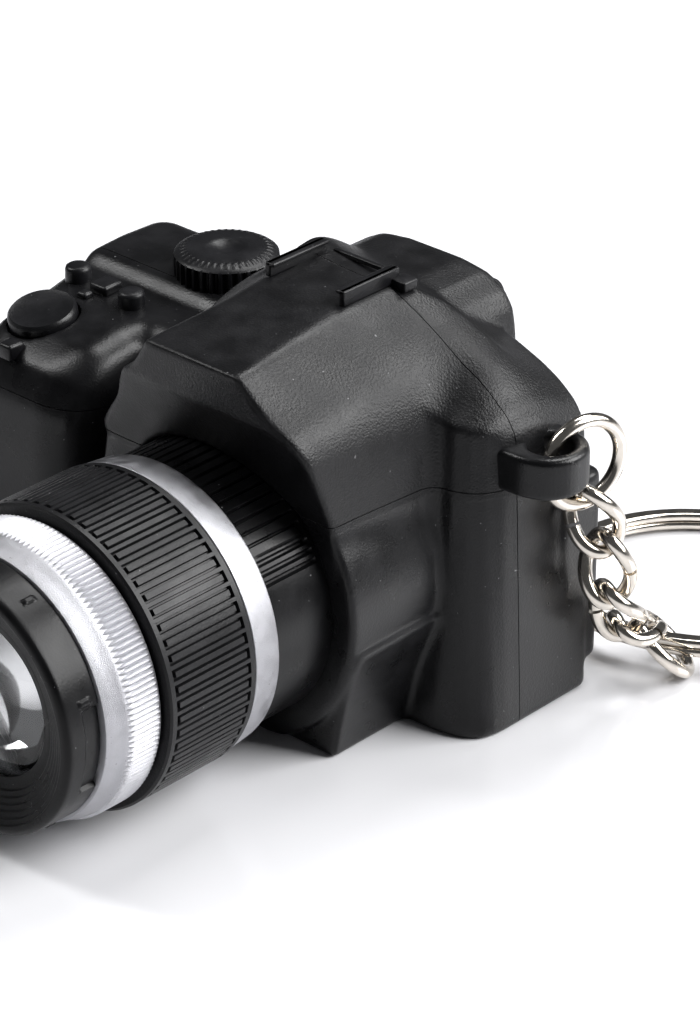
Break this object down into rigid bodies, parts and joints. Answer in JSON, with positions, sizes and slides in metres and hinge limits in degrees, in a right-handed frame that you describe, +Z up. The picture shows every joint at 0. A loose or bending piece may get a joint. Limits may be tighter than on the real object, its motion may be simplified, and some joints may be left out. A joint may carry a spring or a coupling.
{
  "type": "key-ring camera",
  "caption": "Palm-sized black single-lens-reflex style camera lamp with silver lens rings, turning rings and dial, sprung shutter button, side lug, short chain and split ring.",
  "frame": {"origin": "on the surface the camera stands on, straight below the lens axis, on the casing's flat floor", "axes": "+Z up, the lens looks along -Y, +X is the right-hand side as seen from the front, where the lug and chain are"},
  "size_m": [0.0629, 0.086, 0.0376],
  "materials": {
    "shell_black": "black ABS with a fine leather-like grain",
    "control_black": "smooth satin black ABS",
    "lens_black": "satin black ABS",
    "silver_paint": "satin silver paint on plastic, a little worn",
    "clear_lens": "clear polished acrylic",
    "reflector": "metallised plastic",
    "screen": "dark glossy panel",
    "nickel": "bright nickel plate",
    "steel": "zinc-plated steel",
    "cells": "bright nickel-plated steel cans",
    "board": "green lacquered circuit board",
    "component": "black moulded component",
    "wire": "PVC insulation"
  },
  "bodies": {
    "camera": {"front_shell": "shell_black", "top_cover": "shell_black", "rear_shell": "shell_black", "key_lug": "shell_black", "lens_barrel": "lens_black", "bright_band": "silver_paint", "front_bezel": "lens_black", "front_lens": "clear_lens", "reflector": "reflector", "lamp": "clear_lens", "lamp_holder": "board", "barrel_screws": "steel", "case_screws": "steel", "shutter_spring": "steel", "switch_board": "board", "shutter_switch": "component", "top_buttons": "control_black", "power_lever": "control_black", "accessory_shoe": "control_black", "rear_screen": "screen", "eyecup": "control_black", "eyepiece_window": "clear_lens", "rear_buttons": "control_black", "battery_door": "control_black", "door_screw": "steel", "battery_holder": "component", "button_cell_1": "cells", "button_cell_2": "cells", "button_cell_3": "cells", "cell_contacts": "steel", "circuit_board": "board", "board_screws": "steel", "sound_chip": "component", "chip_resistors": "component", "speaker": "component", "lamp_wires": "wire", "battery_wires": "wire", "speaker_wires": "wire", "switch_wires": "wire"},
    "shutter_button": {"shutter_button": "control_black"},
    "mode_dial": {"mode_dial": "control_black", "dial_clip": "component"},
    "zoom_ring": {"zoom_ring": "lens_black"},
    "focus_ring": {"focus_ring": "silver_paint"},
    "jump_ring": {"jump_ring": "nickel"},
    "chain_link_1": {"chain_link_1": "nickel"},
    "chain_link_2": {"chain_link_2": "nickel"},
    "chain_link_3": {"chain_link_3": "nickel"},
    "chain_link_4": {"chain_link_4": "nickel"},
    "end_link": {"end_link": "nickel"},
    "split_ring": {"split_ring": "nickel"}
  },
  "joints": [
    {"name": "shutter_press", "type": "slide", "parent": "camera", "child": "shutter_button", "axis": [0, 0.2079, -0.9781], "range_m": [0, 0.0007], "stiffness_N_per_m": 600, "springref_m": -0.0005, "deforming": ["shutter_spring"]},
    {"name": "mode_dial_turn", "type": "hinge", "parent": "camera", "child": "mode_dial", "pos_m": [-0.0183, 0.0072, 0.02825], "axis": [0, 0, 1], "continuous": true},
    {"name": "zoom_turn", "type": "hinge", "parent": "camera", "child": "zoom_ring", "pos_m": [0, -0.027, 0.0137], "axis": [0, -1, 0], "continuous": true},
    {"name": "focus_turn", "type": "hinge", "parent": "camera", "child": "focus_ring", "pos_m": [0, -0.0345, 0.0137], "axis": [0, -1, 0], "continuous": true},
    {"name": "jump_ring_swing", "type": "hinge", "parent": "camera", "child": "jump_ring", "pos_m": [0.0205, 0.0055, 0.0236], "axis": [0, 0, 1], "range_deg": [-60, 0]},
    {"name": "link_1_swing", "type": "hinge", "parent": "jump_ring", "child": "chain_link_1", "pos_m": [0.02128, 0.00884, 0.0198], "axis": [0.2279, 0.9737, 0], "range_deg": [-18, 0]},
    {"name": "link_2_swing", "type": "hinge", "parent": "chain_link_1", "child": "chain_link_2", "pos_m": [0.02306, 0.01033, 0.0154], "axis": [0.2201, 0.9143, 0.3399], "range_deg": [-12, 0]},
    {"name": "link_3_swing", "type": "hinge", "parent": "chain_link_2", "child": "chain_link_3", "pos_m": [0.02346, 0.0104, 0.01047], "axis": [0.3491, 0.9333, 0.0839], "range_deg": [-12, 0]},
    {"name": "link_4_swing", "type": "hinge", "parent": "chain_link_3", "child": "chain_link_4", "pos_m": [0.02318, 0.01303, 0.00625], "axis": [0.4717, 0.7845, 0.4027], "range_deg": [-12, 0]},
    {"name": "end_link_swing", "type": "hinge", "parent": "chain_link_4", "child": "end_link", "pos_m": [0.02229, 0.01743, 0.00404], "axis": [0.6494, 0.4803, 0.5896], "range_deg": [-8, 0]},
    {"name": "split_ring_lift", "type": "hinge", "parent": "end_link", "child": "split_ring", "pos_m": [0.0228, 0.01894, 0.00263], "axis": [0.9199, 0.392, -0.0072], "range_deg": [0, 20]}
  ]
}
